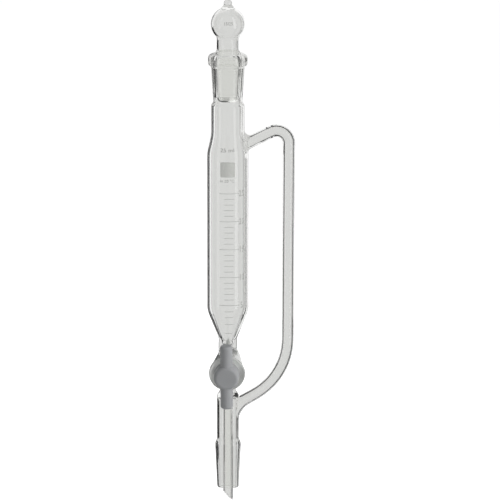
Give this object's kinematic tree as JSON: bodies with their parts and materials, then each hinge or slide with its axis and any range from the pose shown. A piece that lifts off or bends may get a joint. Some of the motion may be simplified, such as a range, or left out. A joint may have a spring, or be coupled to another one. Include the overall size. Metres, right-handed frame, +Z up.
{
  "type": "pressure-equalizing addition funnel",
  "caption": "Graduated cylindrical glass dropping funnel with side arm, tapered ground joints, hollow ball stopper and tapered PTFE stopcock.",
  "frame": {"origin": "on the funnel's axis at the big end of the lower ground joint", "axes": "+Z up along the funnel's axis, +X towards the pressure-equalizing arm, -Y towards the stopcock handle"},
  "size_m": [0.0509, 0.0457, 0.2952],
  "materials": {
    "body_glass": "clear fire-polished borosilicate glass, graduated in grey",
    "stopper_glass": "clear blown glass",
    "plug_ptfe": "smooth white PTFE, waxy",
    "handle_ptfe": "smooth white PTFE, waxy",
    "washer_ptfe": "smooth white PTFE, waxy",
    "ring_rubber": "black rubber",
    "nut_plastic": "moulded white plastic with finger flutes"
  },
  "bodies": {
    "funnel": {"funnel_body": "body_glass", "stopper": "stopper_glass"},
    "plug": {"stopcock_plug": "plug_ptfe", "handle_bar": "handle_ptfe", "plug_washer": "washer_ptfe", "o_ring": "ring_rubber", "lock_nut": "nut_plastic"}
  },
  "joints": [
    {"name": "plug_turn", "type": "hinge", "parent": "funnel", "child": "plug", "pos_m": [0, 0, 0.0456], "axis": [0, -0.9848, -0.1736], "continuous": true}
  ]
}
